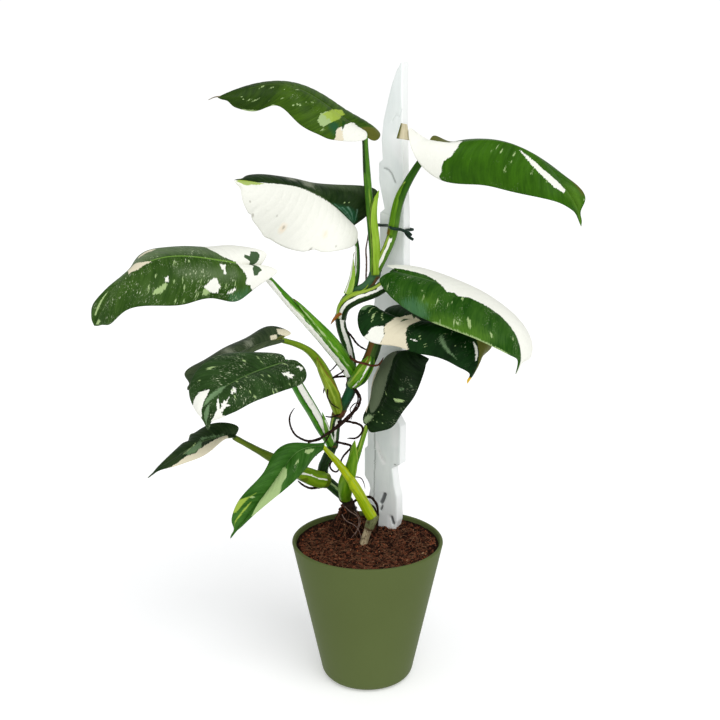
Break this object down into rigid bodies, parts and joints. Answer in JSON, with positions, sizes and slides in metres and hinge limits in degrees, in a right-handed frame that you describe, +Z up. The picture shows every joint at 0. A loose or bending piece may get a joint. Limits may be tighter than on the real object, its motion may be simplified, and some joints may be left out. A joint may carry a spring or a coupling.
{
  "type": "potted white princess philodendron",
  "caption": "Potted climbing foliage plant with heart-shaped green and white variegated leaves, tied to an upright support board in a round tapered pot.",
  "frame": {"origin": "centre of the pot's underside, at the middle of its flat base", "axes": "+Z up along the pot's axis; -Y towards the side that the picture shows; +X to the right in it"},
  "size_m": [0.3802, 0.1782, 0.523],
  "materials": {
    "pot": "satin olive green",
    "soil": "rough dark bark and coir mix",
    "board": "matt white paint",
    "tie": "dark green plastic-coated wire",
    "stem": "satin green stem striped with white",
    "cane": "dry tan bark",
    "petiole": "satin yellow-green stalk striped with white",
    "leaf": "waxy green blade with cream and white sectors",
    "root": "dark brown aerial root"
  },
  "bodies": {
    "root": {"pot": "pot", "soil": "soil", "support_board": "board", "wire_tie": "tie", "main_stem": "stem", "side_cane": "cane", "petiole_top_left": "petiole", "petiole_top_right": "petiole", "petiole_upper_left": "petiole", "petiole_left": "petiole", "petiole_mid_left_back": "petiole", "petiole_mid_left_front": "petiole", "petiole_low_left": "petiole", "petiole_low_front": "petiole", "petiole_right": "petiole", "petiole_right_under": "petiole", "petiole_centre": "petiole", "blade_top_left": "leaf", "blade_top_right": "leaf", "blade_upper_left": "leaf", "blade_left": "leaf", "blade_mid_left_back": "leaf", "blade_mid_left_front": "leaf", "blade_low_left": "leaf", "blade_low_front": "leaf", "blade_right": "leaf", "blade_right_under": "leaf", "blade_centre": "leaf", "aerial_root_1": "root", "aerial_root_2": "root", "aerial_root_3": "root", "aerial_root_4": "root", "aerial_root_5": "root", "aerial_root_6": "root", "aerial_root_7": "root", "aerial_root_8": "root", "aerial_root_9": "root"}
  },
  "joints": []
}
